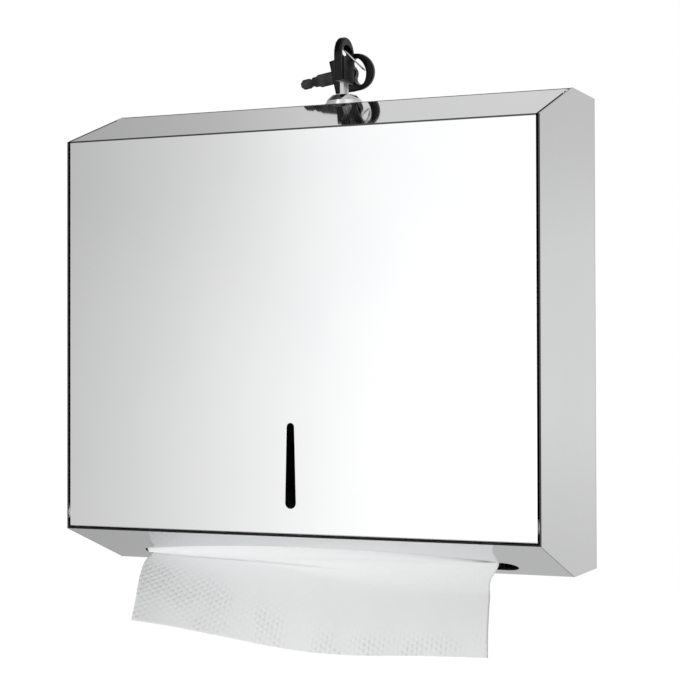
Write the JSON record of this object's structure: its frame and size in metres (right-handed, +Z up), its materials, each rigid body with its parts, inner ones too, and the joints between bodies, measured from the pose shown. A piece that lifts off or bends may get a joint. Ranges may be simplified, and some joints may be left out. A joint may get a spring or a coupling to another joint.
{
  "type": "folded towel dispenser",
  "caption": "Wall-mounted stainless cabinet for folded paper towels: drop-down front door with a level slot, cam lock with keys on top, towels hanging from a slot in the lower slope.",
  "frame": {"origin": "centre of the four wall-screw holes, on the back face that lies on the wall", "axes": "+X to the viewer's right, +Y into the wall, the door faces -Y, +Z up"},
  "size_m": [0.28, 0.106, 0.349],
  "materials": {
    "polished_steel": "mirror-polished stainless sheet",
    "plain_steel": "plain zinc-plated steel",
    "lock_chrome": "bright chrome plating",
    "brass": "stamped brass",
    "key_steel": "nickel-plated steel",
    "black_plastic": "moulded black plastic with a low sheen",
    "white_nylon": "natural nylon",
    "rubber": "black rubber",
    "towel_paper": "soft embossed white paper"
  },
  "bodies": {
    "case": {"case_shell": "polished_steel", "side_panel_left": "polished_steel", "side_panel_right": "polished_steel", "hinge_pins": "plain_steel", "hinge_washers": "white_nylon", "hinge_clips": "plain_steel", "door_bumpers": "rubber", "lock_housing": "lock_chrome", "lock_trim_washer": "lock_chrome", "lock_star_washer": "plain_steel", "lock_nut": "plain_steel", "towel_stack": "towel_paper", "lead_towel": "towel_paper"},
    "door": {"door_panel": "polished_steel", "strike_bracket": "plain_steel"},
    "plug": {"lock_plug": "lock_chrome", "lock_wafers": "brass", "lock_cam": "plain_steel", "cam_washer": "plain_steel", "cam_nut": "plain_steel"},
    "key": {"key_blade": "key_steel", "key_bow": "black_plastic"},
    "ring": {"key_ring": "key_steel"},
    "spare_key": {"spare_key_blade": "key_steel", "spare_key_bow": "black_plastic"}
  },
  "joints": [
    {"name": "door_hinge", "type": "hinge", "parent": "case", "child": "door", "pos_m": [0, -0.1005, -0.1005], "axis": [1, 0, 0], "range_deg": [0, 110]},
    {"name": "lock_turn", "type": "hinge", "parent": "case", "child": "plug", "pos_m": [0, -0.031, 0.125], "axis": [0, 0, 1], "range_deg": [0, 90]},
    {"name": "key_pull", "type": "slide", "parent": "plug", "child": "key", "axis": [0, 0, 1], "range_m": [0, 0.026]},
    {"name": "ring_swing", "type": "hinge", "parent": "key", "child": "ring", "pos_m": [0, -0.031, 0.1645], "axis": [0, 1, 0], "range_deg": [-12, 3]},
    {"name": "spare_swing", "type": "hinge", "parent": "ring", "child": "spare_key", "pos_m": [0.0064, -0.0158, 0.1549], "axis": [0, 1, 0], "range_deg": [-6, 20]}
  ]
}
